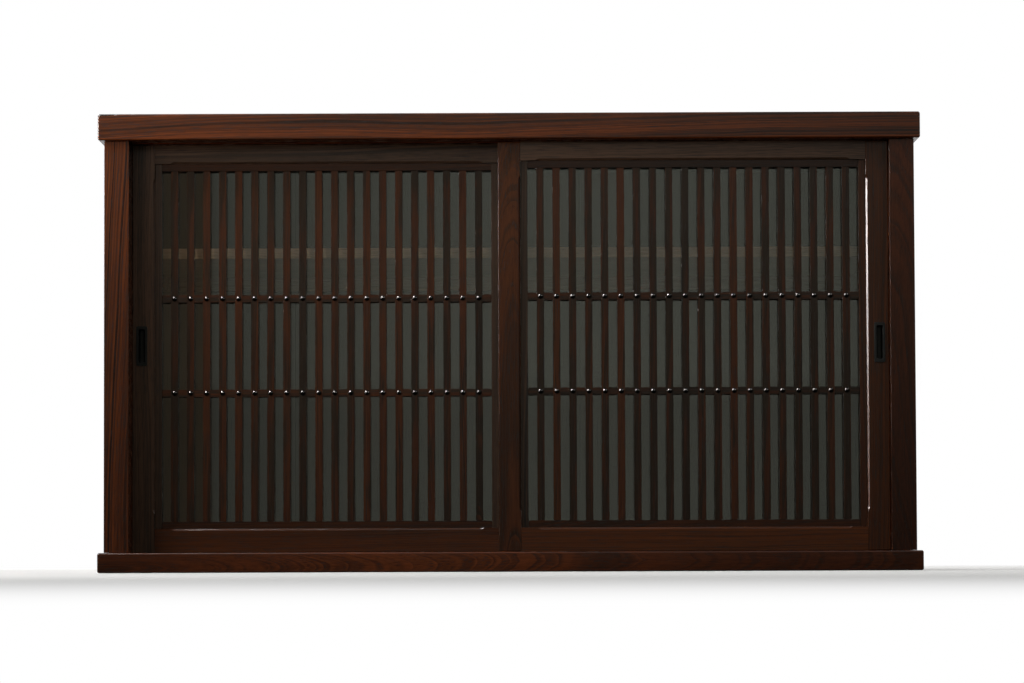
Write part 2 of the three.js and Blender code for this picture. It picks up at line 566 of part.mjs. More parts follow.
/** One sliding door, its middle at x = 0, its face at y = 0 and its lower shoulder at z = 0. */
/** Outward is -1 for the left door and +1 for the right door. */
function slidingDoor(door, outward) {
  const group = new THREE.Group();
  const stileX = (DOOR_WIDTH - STILE_WIDTH) / 2;
  const pullX = outward * (DOOR_WIDTH / 2 - PULL_EDGE_DISTANCE);
  const outerX = outward * stileX;
  const pocket = pullPocket().translate(pullX - outerX, 0, OPENING_CENTRE_Z);
  const outerStile = woodPiece(`${door}_outer_stile`, stile(-outward, [pocket]), STAINED_FRAME);
  outerStile.position.x = outerX;
  const meetingStile = woodPiece(`${door}_meeting_stile`, stile(outward, []), STAINED_FRAME);
  meetingStile.position.x = -outerX;
  const topRail = woodPiece(`${door}_top_rail`, rail([OPENING_HIGH_Z, DOOR_HEIGHT], true), STAINED_FRAME);
  const bottomRail = woodPiece(`${door}_bottom_rail`, rail([0, BOTTOM_RAIL_HEIGHT], false), STAINED_FRAME);
  const pullFinish = new THREE.MeshStandardMaterial({ color: PULL_BLACK, roughness: 0.5, metalness: 0.4 });
  const pull = new THREE.Mesh(fingerPull(), pullFinish);
  pull.name = `${door}_finger_pull`;
  pull.position.set(pullX, 0, OPENING_CENTRE_Z);
  group.add(outerStile, meetingStile, topRail, bottomRail, pull);
  group.add(lattice(door, outward), glassPane(door), glazingBeads(door, outward));
  return group;
}

/** The whole chest with both doors closed. */
function kitchenTansu() {
  const tansu = new THREE.Group();
  const leftDoor = slidingDoor('left_door', -1);
  leftDoor.position.set(-DOOR_CENTRE_X, REAR_DOOR_Y, DOOR_BASE_Z);
  const rightDoor = slidingDoor('right_door', 1);
  rightDoor.position.set(DOOR_CENTRE_X, FRONT_DOOR_Y, DOOR_BASE_Z);
  tansu.add(carcass(), back(), shelving(), leftDoor, rightDoor);
  return tansu;
}

export default kitchenTansu();
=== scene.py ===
"""A low kitchen tansu with two sliding lattice doors.

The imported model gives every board, rail and pane its place. This script gives them their finish, makes
the lattice again with rounded arrises, adds the tacks, finger pulls and nails, and sets a plain pale
studio round the chest. Lengths are metres and angles are degrees, unless a name says otherwise.
"""

from __future__ import annotations

import logging
import math
import random
from collections.abc import Callable, Sequence
from dataclasses import dataclass, field, replace
from enum import Enum

import bpy
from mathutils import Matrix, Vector


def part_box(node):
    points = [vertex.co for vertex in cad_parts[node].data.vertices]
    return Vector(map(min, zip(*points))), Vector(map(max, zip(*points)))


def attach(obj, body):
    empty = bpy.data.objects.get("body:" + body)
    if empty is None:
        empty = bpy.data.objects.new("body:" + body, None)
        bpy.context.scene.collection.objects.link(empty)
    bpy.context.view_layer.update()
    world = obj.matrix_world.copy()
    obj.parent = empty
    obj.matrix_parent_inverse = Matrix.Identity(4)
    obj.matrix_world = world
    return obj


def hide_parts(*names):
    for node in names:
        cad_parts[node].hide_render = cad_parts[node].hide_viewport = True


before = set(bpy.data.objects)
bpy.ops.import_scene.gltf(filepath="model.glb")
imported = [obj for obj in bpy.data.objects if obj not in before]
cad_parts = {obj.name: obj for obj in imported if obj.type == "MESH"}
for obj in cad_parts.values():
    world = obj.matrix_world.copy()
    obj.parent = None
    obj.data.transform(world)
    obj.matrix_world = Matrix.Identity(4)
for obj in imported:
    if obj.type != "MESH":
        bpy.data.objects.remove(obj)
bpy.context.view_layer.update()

Point = tuple[float, float, float]
Colour = tuple[float, float, float]
Span = tuple[float, float]
Place = Callable[[float, float, float], Point]

ARRIS_ANGLE = 30.0  # edges that turn by more than this are rounded
MILLIMETRE = 0.001
JOINT_GAP = 0.3 * MILLIMETRE
WELD_GAP = 0.01 * MILLIMETRE  # points closer than this are one point
FLAT_ANGLE = 0.5  # faces that turn by less than this are one face

log = logging.getLogger("kitchen_tansu")


class Grain(Enum):
    """Which way the fibres of a piece run."""

    ALONG_X = "level"
    ALONG_Z = "upright"


class Side(Enum):
    """The two doors, by the side that each one closes. The value points outwards along X."""

    LEFT = -1
    RIGHT = 1

    @property
    def door(self) -> str:
        """The name of the door's body and the start of its pieces' names."""
        return f"{self.name.lower()}_door"


class Graph:
    """The nodes of one material or world, with short calls for those that the finishes use."""

    def __init__(self, name: str, world: bool = False) -> None:
        """Starts without nodes.

        Args:
            name: The material's or the world's name.
            world: True for a world.
        """
        self.owner = bpy.data.worlds.new(name) if world else bpy.data.materials.new(name)
        self.output = "OutputWorld" if world else "OutputMaterial"
        self.owner.use_nodes = True
        self.tree = self.owner.node_tree
        self.tree.nodes.clear()

    def feed(self, socket: bpy.types.NodeSocket, value: object) -> None:
        """Links a socket to another node's output, or sets its own value."""
        if isinstance(value, bpy.types.NodeSocket):
            self.tree.links.new(value, socket)
        elif isinstance(value, tuple) and socket.type == "RGBA":
            socket.default_value = (*value, 1.0)
        else:
            socket.default_value = value

    def add(
        self, kind: str, inputs: dict[str | int, object] | None = None, **settings: object
    ) -> bpy.types.Node:
        """Adds a node.

        Args:
            kind: The node's type, without its leading "ShaderNode".
            inputs: Values or sockets for its inputs, by name or number.
            settings: The node's own options.

        Returns:
            The new node.
        """
        node = self.tree.nodes.new(f"ShaderNode{kind}")
        for option, value in settings.items():
            setattr(node, option, value)
        for socket, value in (inputs or {}).items():
            self.feed(node.inputs[socket], value)
        return node

    def math(self, operation: str, *values: object) -> bpy.types.NodeSocket:
        """The result of one step of arithmetic on numbers."""
        return self.add("Math", dict(enumerate(values)), operation=operation).outputs[0]

    def vector(self, operation: str, *values: object) -> bpy.types.NodeSocket:
        """The result of one step of arithmetic on vectors. A length comes out as a number."""
        node = self.add("VectorMath", dict(enumerate(values)), operation=operation)
        return node.outputs["Value" if operation == "LENGTH" else "Vector"]

    def place(self) -> bpy.types.NodeSocket:
        """Where on its piece a point lies, in the chest's own frame."""
        return self.add("TexCoord").outputs["Object"]

    def axes(self) -> Sequence[bpy.types.NodeSocket]:
        """The X, Y and Z of that place."""
        return self.add("SeparateXYZ", {0: self.place()}).outputs

    def bar_draw(self) -> bpy.types.NodeSocket:
        """The three draws of the bar that a point lies on."""
        return self.add("Attribute", attribute_name=BAR_DRAW).outputs["Vector"]

    def noise(self, place: bpy.types.NodeSocket, scale: Point, detail: float) -> bpy.types.Node:
        """A noise texture that is stretched along the axes.

        Args:
            place: The coordinates, in metres.
            scale: How many features it has in a metre along each axis.
            detail: How many finer layers it has.

        Returns:
            The noise node.
        """
        stretched = self.vector("MULTIPLY", place, scale)
        return self.add("TexNoise", {"Vector": stretched, "Scale": 1.0, "Detail": detail})

    def fade(self, value: object, start: float, end: float) -> bpy.types.NodeSocket:
        """A smooth step from 0 where value is start to 1 where it is end."""
        inputs = {"Value": value, "From Min": start, "From Max": end}
        return self.add("MapRange", inputs, interpolation_type="SMOOTHSTEP").outputs["Result"]

    def blend(self, share: object, first: object, second: object) -> bpy.types.NodeSocket:
        """Two colours mixed, with share of the second."""
        return self.add("Mix", {0: share, 6: first, 7: second}, data_type="RGBA").outputs[2]

    def relief(self, height: object, depth: float, strength: float) -> bpy.types.NodeSocket:
        """The surface's direction where height goes from 0 to 1 over a depth in metres."""
        inputs = {"Height": height, "Strength": strength, "Distance": depth}
        return self.add("Bump", inputs).outputs[0]

    def swing(self, value: object, amount: float) -> bpy.types.NodeSocket:
        """A factor about 1 that goes amount to either side as value goes from 0 to 1."""
        return self.math("MULTIPLY_ADD", value, 2.0 * amount, 1.0 - amount)

    def seen(self) -> bpy.types.NodeSocket:
        """1 to the eye, to mirrors and through glass, and 0 to all other light."""
        path = self.add("LightPath").outputs
        seen = self.math("MAXIMUM", path["Is Camera Ray"], path["Is Glossy Ray"])
        return self.math("MAXIMUM", seen, path["Is Transmission Ray"])

    def close(self, surface: bpy.types.NodeSocket) -> bpy.types.Material | bpy.types.World:
        """Ends the nodes with the shader that they show, and returns their owner."""
        self.add(self.output, {"Surface": surface})
        return self.owner


@dataclass(frozen=True)
class Sawing:
    """How one piece was sawn from its log.

    Attributes:
        grain: The way its fibres run.
        heart: The middle of the log, as Y and the other level or upright axis across the grain.
        lean: How far the log's axis leans off the piece, towards those two axes.
        along: Where along the log the piece was cut, which picks its figure.
    """

    grain: Grain
    heart: Span
    lean: Span
    along: float


@dataclass(frozen=True)
class PaintedLightStretch:
    """A stretch of a board made lighter in colour: painted light that stands in for the light falling there,
    so that it looks lighter.

    Attributes:
        middle: Where its middle is along the fibres, in the chest's own frame.
        reach: How far from there it fades out.
        lift: How much lighter its middle is than the board's ends.
    """

    middle: float
    reach: float
    lift: float

    def level(self, graph: Graph, grain: Grain) -> bpy.types.NodeSocket:
        """How light each place along the board is beside its ends."""
        along = graph.axes()[0 if grain is Grain.ALONG_X else 2]
        gap = graph.math("ABSOLUTE", graph.math("SUBTRACT", along, self.middle))
        return graph.math("MULTIPLY_ADD", graph.fade(gap, self.reach, 0.0), self.lift, 1.0)


@dataclass(frozen=True)
class Timber:
    """What all pieces of this ring-porous timber share.

    Attributes:
        bends: The slow and the quick bends of its rings: how many a metre holds along and across
            the fibres, and how far they reach beside the wood's wander.
        swells: How many changes of the rings' width go with one ring.
        swell: How many rings such a change is worth.
        rise: Where in a ring its porous wood starts, and where it is full.
        fall: Where in a ring its porous wood has ended, and where it is still full.
        ring_spread: How much its rings differ in colour.
        fibres: How many fibres a metre holds, along and across them.
        vessels: How many vessels a metre holds, along and across them.
        opening: The levels between which a vessel opens into a pore.
        late_pores: The share of the pores that the dense wood has too.
        pore_colour: How much of their own colour the pores show.
        pore_roughness: How much rougher the pores are.
        fibre_roughness: How much rougher the fibres are.
        relief: The depth of a pore.
        early_relief: How deep the porous wood lies, in pores.
        fibre_relief: How high the fibres stand, in pores.
        relief_strength: How much of the relief the finish leaves.
    """

    bends: tuple[tuple[Point, float], ...] = (((1.3, 4.0, 4.0), 4.0), ((9.0, 60.0, 60.0), 0.2))
    swells: float = 0.21
    swell: float = 4.0
    rise: Span = (0.82, 1.0)
    fall: Span = (0.85, 0.1)
    ring_spread: float = 0.55
    fibres: Point = (5.0, 420.0, 420.0)
    vessels: Point = (38.0, 1100.0, 1100.0)
    opening: Span = (0.55, 0.68)
    late_pores: float = 0.25
    pore_colour: float = 0.8
    pore_roughness: float = 0.08
    fibre_roughness: float = 0.04
    relief: float = 0.07 * MILLIMETRE
    early_relief: float = 0.35
    fibre_relief: float = 0.3
    relief_strength: float = 0.5


@dataclass(frozen=True)
class Wood:
    """Ring-porous wood, bare or under stain and a satin finish.

    Attributes:
        late: The colour of the dense part of a ring.
        early: The colour of the porous part of a ring.
        pore: The colour inside the pores.
        ring_pitch: The width of a ring.
        wander: How far the rings wander off true rounds.
        contrast: How much of the early colour shows at most.
        blotch: How much the stain gathers in long patches.
        patch_count: How many such patches a metre holds along and across the fibres.
        mottle: How much light and dark patches differ.
        streak: How much the fibres differ.
        roughness: The roughness of the dense wood.
        specular: The strength of its mirror reflection, where 0.5 is a plain varnish.
        timber: The structure under the finish.
    """

    late: Colour
    early: Colour
    pore: Colour
    ring_pitch: float = 5.2 * MILLIMETRE
    wander: float = 11.0 * MILLIMETRE
    contrast: float = 1.0
    blotch: float = 1.2
    patch_count: Point = (3.2, 16.0, 16.0)
    mottle: float = 0.2
    streak: float = 0.5
    roughness: float = 0.2
    specular: float = 0.13
    timber: Timber = Timber()

    def _log_place(self, graph: Graph, sawing: Sawing, per_bar: bool) -> bpy.types.NodeSocket:
        """Coordinates in the log: X along the fibres, and the heart on the axis."""
        rest = graph.place()
        if sawing.grain is Grain.ALONG_Z:
            axes = graph.axes()
            rest = graph.add("CombineXYZ", {0: axes[2], 1: axes[1], 2: axes[0]}).outputs[0]
        if per_bar:
            rest = graph.vector("MULTIPLY_ADD", graph.bar_draw(), BAR_SHIFT, rest)
        turn = (0.0, math.radians(sawing.lean[1]), math.radians(sawing.lean[0]))
        start = (sawing.along, -sawing.heart[0], -sawing.heart[1])
        straight = graph.add("Mapping", {"Vector": rest, "Location": start, "Rotation": turn}).outputs[0]
        place = straight
        for count, share in self.timber.bends:
            reach = share * self.wander
            bend = graph.noise(straight, count, 1.0).outputs["Color"]
            bend = graph.vector("SUBTRACT", bend, (0.5, 0.5, 0.5))
            place = graph.vector("ADD", place, graph.vector("MULTIPLY", bend, (0.0, reach, reach)))
        return place

    def material(
        self,
        name: str,
        sawing: Sawing,
        tone: float = 1.0,
        per_bar: bool = False,
        painted_light: PaintedLightStretch | None = None,
    ) -> bpy.types.Material:
        """The wood of one piece.

        Args:
            name: The material's name.
            sawing: How the piece was sawn.
            tone: How light it is beside this wood's own colours.
            per_bar: True if the mesh holds many bars, each with its own draw of figure and tone.
            painted_light: A stretch made lighter to stand in for the light falling there (painted light), if
                any.

        Returns:
            The material.
        """
        graph = Graph(name)
        timber = self.timber
        place = self._log_place(graph, sawing, per_bar)
        radius = graph.vector("LENGTH", graph.vector("MULTIPLY", place, (0.0, 1.0, 1.0)))
        count = graph.math("DIVIDE", radius, self.ring_pitch)
        swelling = graph.math("MULTIPLY", count, timber.swells)
        uneven = graph.add("TexNoise", {"W": swelling}, noise_dimensions="1D").outputs[0]
        count = graph.math("MULTIPLY_ADD", uneven, timber.swell, count)
        ring = graph.math("FRACT", count)
        number = graph.math("FLOOR", count)
        own = graph.add("TexWhiteNoise", {"W": number}, noise_dimensions="1D").outputs["Value"]
        early = graph.math("MAXIMUM", graph.fade(ring, *timber.rise), graph.fade(ring, *timber.fall))
        fibres = graph.noise(place, timber.fibres, 2.0).outputs[0]
        vessels = graph.noise(place, timber.vessels, 0.0).outputs[0]
        porous = graph.math("MULTIPLY_ADD", early, 1.0 - timber.late_pores, timber.late_pores)
        pores = graph.math("MULTIPLY", graph.fade(vessels, *timber.opening), porous)
        patches = graph.noise(place, self.patch_count, 2.0).outputs[0]
        stained = graph.math("MULTIPLY_ADD", own, timber.ring_spread, 1.0 - timber.ring_spread)
        dark = graph.math("MULTIPLY", early, stained)
        gathered = graph.math("MULTIPLY_ADD", patches, self.blotch, -0.5 * self.blotch)
        if per_bar:
            own_stain = graph.add("SeparateXYZ", {0: graph.bar_draw()}).outputs[1]
            gathered = graph.math("MULTIPLY_ADD", own_stain, BAR_STAIN, gathered)
            gathered = graph.math("SUBTRACT", gathered, BAR_CLEAR)
        dark = graph.math("MULTIPLY_ADD", dark, self.contrast, gathered)
        colour = graph.blend(dark, self.late, self.early)
        colour = graph.blend(graph.math("MULTIPLY", pores, timber.pore_colour), colour, self.pore)
        level = graph.math("MULTIPLY", graph.swing(fibres, self.streak), graph.swing(patches, self.mottle))
        level = graph.math("MULTIPLY", level, tone)
        # Painted light: a stretch of the board is made lighter where more light falls.
        if painted_light:
            level = graph.math("MULTIPLY", level, painted_light.level(graph, sawing.grain))
        colour = graph.vector("SCALE", colour)
        graph.feed(colour.node.inputs["Scale"], level)
        rough = graph.math("MULTIPLY_ADD", pores, timber.pore_roughness, self.roughness)
        rough = graph.math("MULTIPLY_ADD", fibres, timber.fibre_roughness, rough)
        depth = graph.math("MULTIPLY", early, -timber.early_relief)
        depth = graph.math("MULTIPLY_ADD", pores, -1.0, depth)
        depth = graph.math("MULTIPLY_ADD", fibres, timber.fibre_relief, depth)
        shader = graph.add("BsdfPrincipled", {
            "Base Color": colour,
            "Roughness": rough,
            "Normal": graph.relief(depth, timber.relief, timber.relief_strength),
            "Specular IOR Level": self.specular,
        })
        return graph.close(shader.outputs[0])


@dataclass(frozen=True)
class ClearGlass:
    """Plain float glass. Lamps and soft light pass it, and the eye sees its reflections."""

    tint: Colour = (0.93, 0.97, 0.95)
    bend: float = 1.5
    roughness: float = 0.0

    def material(self, name: str) -> bpy.types.Material:
        """The glass of the panes."""
        graph = Graph(name)
        pane = graph.add("BsdfPrincipled", {
            "Base Color": self.tint,
            "Roughness": self.roughness,
            "IOR": self.bend,
            "Transmission Weight": 1.0,
        })
        open_air = graph.add("BsdfTransparent", {"Color": self.tint})
        path = graph.add("LightPath")
        lit = graph.math("MAXIMUM", path.outputs["Is Shadow Ray"], path.outputs["Is Diffuse Ray"])
        mixed = graph.add("MixShader", {0: lit, 1: pane.outputs[0], 2: open_air.outputs[0]})
        return graph.close(mixed.outputs[0])


@dataclass(frozen=True)
class DarkMetal:
    """Dark metal with an uneven skin, as on tacks, pulls and nails."""

    face: Colour
    worn: Colour
    roughness: float
    metallic: float = 1.0
    specular: float = 0.5
    skin_count: float = 260.0  # patches of its skin to the metre
    grime_count: float = 1400.0  # specks of grime to the metre
    wear: Span = (0.4, 0.7)  # the levels between which the skin is worn off
    grime_roughness: float = 0.18
    grime_relief: float = 0.05 * MILLIMETRE
    relief_strength: float = 0.3

    def material(self, name: str) -> bpy.types.Material:
        """The metal of one kind of fitting."""
        graph = Graph(name)
        place = graph.place()
        skin = graph.noise(place, (self.skin_count,) * 3, 3.0).outputs[0]
        grime = graph.noise(place, (self.grime_count,) * 3, 2.0).outputs[0]
        colour = graph.blend(graph.fade(skin, *self.wear), self.face, self.worn)
        rough = graph.math("MULTIPLY_ADD", grime, self.grime_roughness, self.roughness)
        shader = graph.add("BsdfPrincipled", {
            "Base Color": colour,
            "Roughness": rough,
            "Normal": graph.relief(grime, self.grime_relief, self.relief_strength),
            "Metallic": self.metallic,
            "Specular IOR Level": self.specular,
        })
        return graph.close(shader.outputs[0])


BAR_DRAW = "bar_draw"  # mesh attribute: three draws from 0 to 1 that pick each bar's figure and stain
BAR_SHIFT = (1.7, 0.31, 0.23)  # how far apart in the log the bars are drawn from
BAR_STAIN = 0.95  # how much the bars differ in stain
BAR_CLEAR = 0.15  # how much clearer than its wood the clearest bar is

STAINED_BOARD = Wood(
    late=(0.130, 0.030, 0.0068),
    early=(0.019, 0.0072, 0.0034),
    pore=(0.010, 0.0042, 0.0022),
)
SOFT_BOARD = replace(STAINED_BOARD, contrast=0.65)
QUIET_BOARD = replace(STAINED_BOARD, contrast=0.6, ring_pitch=7.5 * MILLIMETRE)
STAINED_FRAME = Wood(
    late=(0.068, 0.0172, 0.0032),
    early=(0.0145, 0.0062, 0.0022),
    pore=(0.007, 0.0035, 0.002),
    ring_pitch=4.6 * MILLIMETRE,
    wander=8.0 * MILLIMETRE,
    contrast=0.75,
    specular=0.14,
)
# Painted shade and sheen: a greyer copy of the frame stain for members that lie in shade, standing in for
# their shade and the grey reflection on them.
SHADE_PAINTED_FRAME = replace(STAINED_FRAME, late=(0.060, 0.031, 0.0175), early=(0.016, 0.0115, 0.0085))
STAINED_SLAT = Wood(
    late=(0.061, 0.0165, 0.0045),
    early=(0.0150, 0.0085, 0.0045),
    pore=(0.009, 0.005, 0.003),
    ring_pitch=3.6 * MILLIMETRE,
    wander=6.0 * MILLIMETRE,
    blotch=4.6,
    mottle=0.8,
    patch_count=(9.0, 130.0, 130.0),
)
BARE_WOOD = Wood(
    late=(0.36, 0.193, 0.102),
    early=(0.245, 0.12, 0.058),
    pore=(0.19, 0.10, 0.045),
    contrast=0.6,
    blotch=0.4,
    mottle=0.12,
    streak=0.2,
    roughness=0.7,
    specular=0.05,
)
TACK_METAL = DarkMetal(face=(0.012, 0.0115, 0.011), worn=(0.017, 0.0162, 0.0155), roughness=0.06)
PULL_FINISH = DarkMetal(
    face=(0.0065, 0.0072, 0.0064),
    worn=(0.010, 0.0106, 0.0096),
    roughness=0.26,
    metallic=0.0,
    specular=0.09,
)
NAIL_METAL = DarkMetal(face=(0.16, 0.145, 0.13), worn=(0.30, 0.27, 0.24), roughness=0.4)


def say(piece: str, what: str) -> None:
    """Reports one finished piece."""
    log.info("%s: %s", piece, what)


def add_object(name: str, data: bpy.types.ID) -> bpy.types.Object:
    """Puts a new object into the scene."""
    made = bpy.data.objects.new(name, data)
    bpy.context.scene.collection.objects.link(made)
    return made


def card_mesh(name: str, corners: Sequence[Point]) -> bpy.types.Mesh:
    """A mesh of one face with four corners."""
    mesh = bpy.data.meshes.new(name)
    mesh.from_pydata(corners, [], [(0, 1, 2, 3)])
    return mesh


def round_arrises(piece: bpy.types.Object, radius: float, steps: int = 2) -> None:
    """Rounds a piece's sharp edges with modifiers, and leaves its own vertices alone.

    Args:
        piece: A mesh, welded or not.
        radius: How far the rounding goes back from the edge.
        steps: How many facets it has.
    """
    mesh = piece.data
    if "custom_normal" in mesh.attributes:
        mesh.attributes.remove(mesh.attributes["custom_normal"])
    mesh.shade_smooth()
    weld = piece.modifiers.new("weld", "WELD")
    weld.merge_threshold = WELD_GAP
    flat = piece.modifiers.new("flat", "DECIMATE")
    flat.decimate_type = "DISSOLVE"
    flat.angle_limit = math.radians(FLAT_ANGLE)
    bevel = piece.modifiers.new("arris", "BEVEL")
    bevel.width = radius
    bevel.segments = steps
    bevel.limit_method = "ANGLE"
    bevel.angle_limit = math.radians(ARRIS_ANGLE)
    piece.modifiers.new("normals", "WEIGHTED_NORMAL")


def dress(node: str, material: bpy.types.Material, radius: float = 0.0, steps: int = 2) -> None:
    """Gives a CAD node its material and rounds its arrises.

    Args:
        node: The node's name.
        material: What it is made of.
        radius: The rounding of its arrises, or 0 to leave them sharp.
        steps: How many facets the rounding has.
    """
    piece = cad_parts[node]
    piece.data.materials[0] = material
    if radius:
        round_arrises(piece, radius, steps)
    say(node, material.name)


class MeshDraft:
    """The points and faces of one piece, collected before its mesh is made."""

    def __init__(self) -> None:
        """Starts with nothing."""
        self.points: list[Point] = []
        self.faces: list[tuple[int, ...]] = []
        self.draws: list[Point] = []

    def ring(self, points: Sequence[Point]) -> list[int]:
        """Adds points and returns their numbers."""
        first = len(self.points)
        self.points.extend(points)
        return list(range(first, len(self.points)))

    def circle(self, middle: Point, radius: float, facets: int, way: float = 1.0) -> list[int]:
        """Adds points round an axis along Y.

        Args:
            middle: The circle's middle.
            radius: Its radius.
            facets: How many points it has.
            way: 1 for a head that faces the front, or -1 for one that faces the back.

        Returns:
            The points' numbers.
        """
        x, y, z = middle
        turn = [2.0 * math.pi * i / facets for i in range(facets)]
        return self.ring([(x + way * radius * math.cos(a), y, z + radius * math.sin(a)) for a in turn])

    def bridge(self, first: Sequence[int], second: Sequence[int]) -> None:
        """Joins two equal rings with faces, each face turning from the first ring to the second."""
        for i in range(len(first)):
            after = (i + 1) % len(first)
            self.faces.append((first[i], first[after], second[after], second[i]))

    def cup(self, rings: Sequence[Sequence[int]]) -> None:
        """Joins rings in order and closes the first one with a face."""
        self.faces.append(tuple(reversed(rings[0])))
        for lower, upper in zip(rings, rings[1:], strict=False):
            self.bridge(lower, upper)

    def stack(self, rings: Sequence[Sequence[int]]) -> None:
        """Joins rings in order and closes both ends with a face."""
        self.cup(rings)
        self.faces.append(tuple(rings[-1]))

    def draw(self, values: Point) -> None:
        """Marks all points that have no draw yet."""
        self.draws.extend([values] * (len(self.points) - len(self.draws)))

    def piece(self, name: str, material: bpy.types.Material, body: str, slot: str) -> bpy.types.Object:
        """Makes the piece and sets it on its body.

        Args:
            name: The piece's name.
            material: What it is made of.
            body: The CAD body that carries it.
            slot: The name of a record's material slot; not used.

        Returns:
            The new object.
        """
        mesh = bpy.data.meshes.new(name)
        mesh.from_pydata(self.points, [], self.faces)
        mesh.validate()
        mesh.materials.append(material)
        if self.draws:
            drawn = mesh.attributes.new(BAR_DRAW, "FLOAT_VECTOR", "POINT")
            drawn.data.foreach_set("vector", [number for draw in self.draws for number in draw])
        made = add_object(name, mesh)
        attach(made, body)
        say(name, material.name)
        return made


@dataclass
class Carcass:
    """The four thick boards of the chest."""

    board_arris: float = 1.3 * MILLIMETRE
    side_arris: float = 0.4 * MILLIMETRE

    def build(self) -> None:
        """Dresses the boards."""
        top = Sawing(Grain.ALONG_X, heart=(0.02, 0.585), lean=(0.4, 0.9), along=0.35)
        bottom = Sawing(Grain.ALONG_X, heart=(-0.27, 0.014), lean=(4.2, 0.6), along=1.9)
        left = Sawing(Grain.ALONG_Z, heart=(0.03, -0.46), lean=(2.0, 3.2), along=3.1)
        right = Sawing(Grain.ALONG_Z, heart=(-0.38, 0.60), lean=(3.4, 1.9), along=5.9)
        # Painted light: the bottom board's middle and the right board's upper part are made lighter,
        # standing in for the light that falls there.
        middle = PaintedLightStretch(middle=-0.15, reach=0.6, lift=1.3)
        upper = PaintedLightStretch(middle=0.62, reach=0.5, lift=0.85)
        top_wood = STAINED_BOARD.material("stained_top", top, tone=0.85)
        bottom_wood = SOFT_BOARD.material("stained_bottom", bottom, tone=0.43, painted_light=middle)
        left_wood = STAINED_BOARD.material("stained_left", left, tone=0.74)
        right_wood = QUIET_BOARD.material("stained_right", right, tone=0.226, painted_light=upper)
        dress("top_board", top_wood, self.board_arris, steps=3)
        dress("bottom_board", bottom_wood, self.board_arris, steps=3)
        dress("left_side_board", left_wood, self.side_arris, steps=3)
        dress("right_side_board", right_wood, self.side_arris, steps=3)


@dataclass
class BackPanel:
    """The lapped back boards and the nails that hold them in their rebate."""

    board_count: int = 5
    arris: float = 0.5 * MILLIMETRE
    nail_radius: float = 2.4 * MILLIMETRE
    nail_stand: float = 0.05 * MILLIMETRE
    nail_sink: float = 1.2 * MILLIMETRE
    nail_crown: float = 0.8  # the flat middle's share of the head
    nail_inset: float = 6.0 * MILLIMETRE
    nails_across: int = 3
    nail_edge: float = 0.035
    facets: int = 12
    heart_start: Span = (0.13, -0.62)  # the logs' hearts lie in a row from here
    heart_step: Span = (0.03, 0.27)
    lean_start: Span = (0.3, 0.4)
    lean_step: float = 0.5
    along_start: float = 7.0
    along_step: float = 1.7
    # The low tone darkens the back boards far below bare wood: painted shade for the dim inside of the
    # chest.
    tone: float = 0.12
    tone_step: float = 0.012
    cleat: str = "back_shelf_cleat"

    def _nail(self, draft: MeshDraft, x: float, y: float, z: float) -> None:
        """Adds one nail's flat head, a little crowned."""
        profile = ((1.0, -self.nail_sink), (1.0, 0.0), (self.nail_crown, self.nail_stand))
        draft.stack([
            draft.circle((x, y + depth, z), share * self.nail_radius, self.facets, way=-1.0)
            for share, depth in profile
        ])

    def _sawing(self, number: int) -> Sawing:
        """How one board was sawn, a little unlike the next."""
        back = self.heart_start[0] + self.heart_step[0] * (number % 2)
        across = self.heart_start[1] + self.heart_step[1] * number
        lean = self.lean_step * (number % 3) + self.lean_start[0]
        along = self.along_start + self.along_step * number
        return Sawing(Grain.ALONG_Z, (back, across), (lean, self.lean_start[1]), along)

    def build(self) -> None:
        """Dresses the boards and sets the nails in them."""
        draft = MeshDraft()
        cleat_low, cleat_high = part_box(self.cleat)
        for number in range(1, self.board_count + 1):
            node = f"back_board_{number}"
            tone = self.tone + self.tone_step * (number % 3)
            wood = BARE_WOOD.material(f"bare_{node}", self._sawing(number), tone)
            dress(node, wood, self.arris)
            low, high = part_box(node)
            rows = (low.z + self.nail_inset, (cleat_low.z + cleat_high.z) / 2.0, high.z - self.nail_inset)
            first, last = low.x + self.nail_edge, high.x - self.nail_edge
            for z in rows:
                for i in range(self.nails_across):
                    x = first + (last - first) * i / (self.nails_across - 1)
                    self._nail(draft, x, high.y, z)
        draft.piece("back_board_nails", NAIL_METAL.material("nail_metal"), "carcass", "black_metal")


@dataclass
class Shelving:
    """The shelf and its three cleats."""

    arris: float = 0.8 * MILLIMETRE
    shelf_tone: float = 1.35
    side_tone: float = 0.96

    def build(self) -> None:
        """Dresses the shelf and the cleats."""
        shelf = Sawing(Grain.ALONG_X, heart=(-0.02, 0.40), lean=(1.2, 0.6), along=12.0)
        dress("shelf", BARE_WOOD.material("bare_shelf", shelf, self.shelf_tone), self.arris)
        back = Sawing(Grain.ALONG_X, heart=(0.05, 0.50), lean=(0.4, 0.6), along=14.0)
        dress("back_shelf_cleat", BARE_WOOD.material("bare_back_cleat", back), self.arris)
        for side in Side:
            node = f"{side.name.lower()}_shelf_cleat"
            dress(node, BARE_WOOD.material(f"bare_{node}", back, self.side_tone), self.arris)


